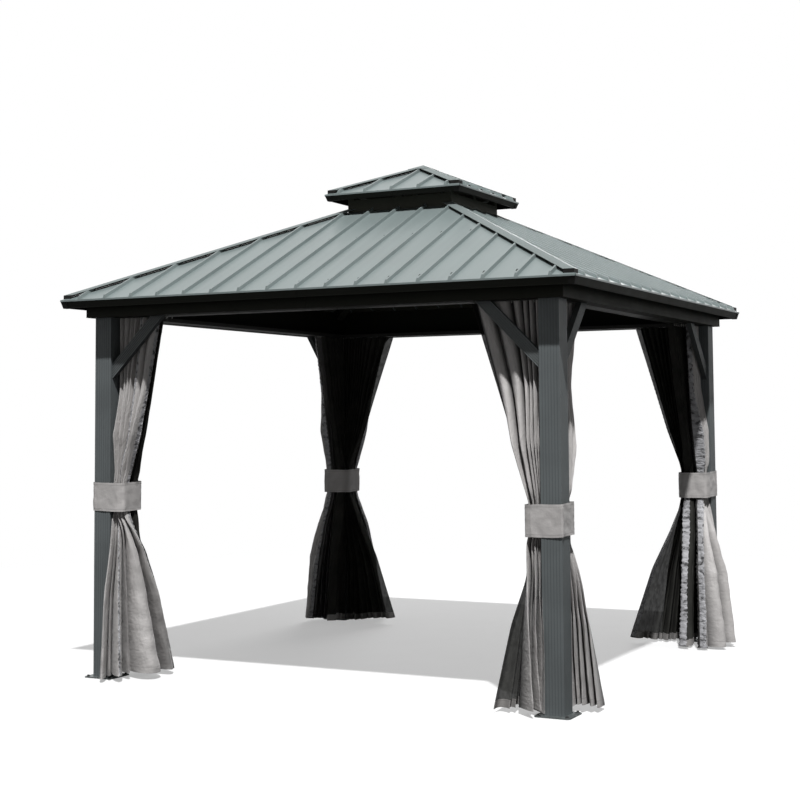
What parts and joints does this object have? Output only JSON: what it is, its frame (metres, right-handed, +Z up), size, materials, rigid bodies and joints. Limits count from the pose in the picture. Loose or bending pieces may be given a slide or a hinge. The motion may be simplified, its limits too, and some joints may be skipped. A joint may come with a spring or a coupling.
{
  "type": "metal gazebo",
  "caption": "Square metal gazebo with fluted posts, knee braces and a vented tiered roof of ribbed sheet, with curtains and netting tied back at the posts.",
  "frame": {"origin": "on the ground at the centre of the four posts", "axes": "+Z up, -Y the front, +X to the right seen from the front"},
  "size_m": [3, 3, 2.8985],
  "materials": {
    "posts": "matt slate grey powder coat on fluted aluminium",
    "plates": "galvanised steel",
    "beams": "dark grey powder coat",
    "tracks": "plain extruded aluminium",
    "rafters": "dark grey powder coat",
    "roof_sheet": "satin grey coated steel sheet",
    "roof_caps": "satin grey coated steel sheet",
    "trim": "dark grey powder coat",
    "corner_caps": "black moulded plastic",
    "curtain_cloth": "grey woven polyester",
    "netting": "black mosquito mesh",
    "tie_cloth": "grey woven polyester"
  },
  "bodies": {
    "root": {"post_front_right": "posts", "post_back_right": "posts", "post_back_left": "posts", "post_front_left": "posts", "base_plates": "plates", "braces_front_right": "posts", "braces_back_right": "posts", "braces_back_left": "posts", "braces_front_left": "posts", "beam_front": "beams", "beam_right": "beams", "beam_back": "beams", "beam_left": "beams", "beam_corners": "beams", "curtain_tracks": "tracks", "hip_rafters": "rafters", "middle_rafters": "rafters", "purlins": "rafters", "vent_ring": "rafters", "vent_uprights": "rafters", "upper_ring": "rafters", "upper_rafters": "rafters", "roof_front": "roof_sheet", "roof_right": "roof_sheet", "roof_back": "roof_sheet", "roof_left": "roof_sheet", "eave_trims": "trim", "eave_corner_caps": "corner_caps", "hip_caps": "roof_caps", "upper_roof": "roof_sheet", "upper_trims": "trim", "upper_corner_caps": "corner_caps", "upper_hip_caps": "roof_caps", "peak_cap": "roof_caps", "curtain_front_right": "curtain_cloth", "curtain_back_right": "curtain_cloth", "curtain_back_left": "curtain_cloth", "curtain_front_left": "curtain_cloth", "netting_front_right": "netting", "netting_back_right": "netting", "netting_back_left": "netting", "netting_front_left": "netting", "tie_bands": "tie_cloth"}
  },
  "joints": []
}
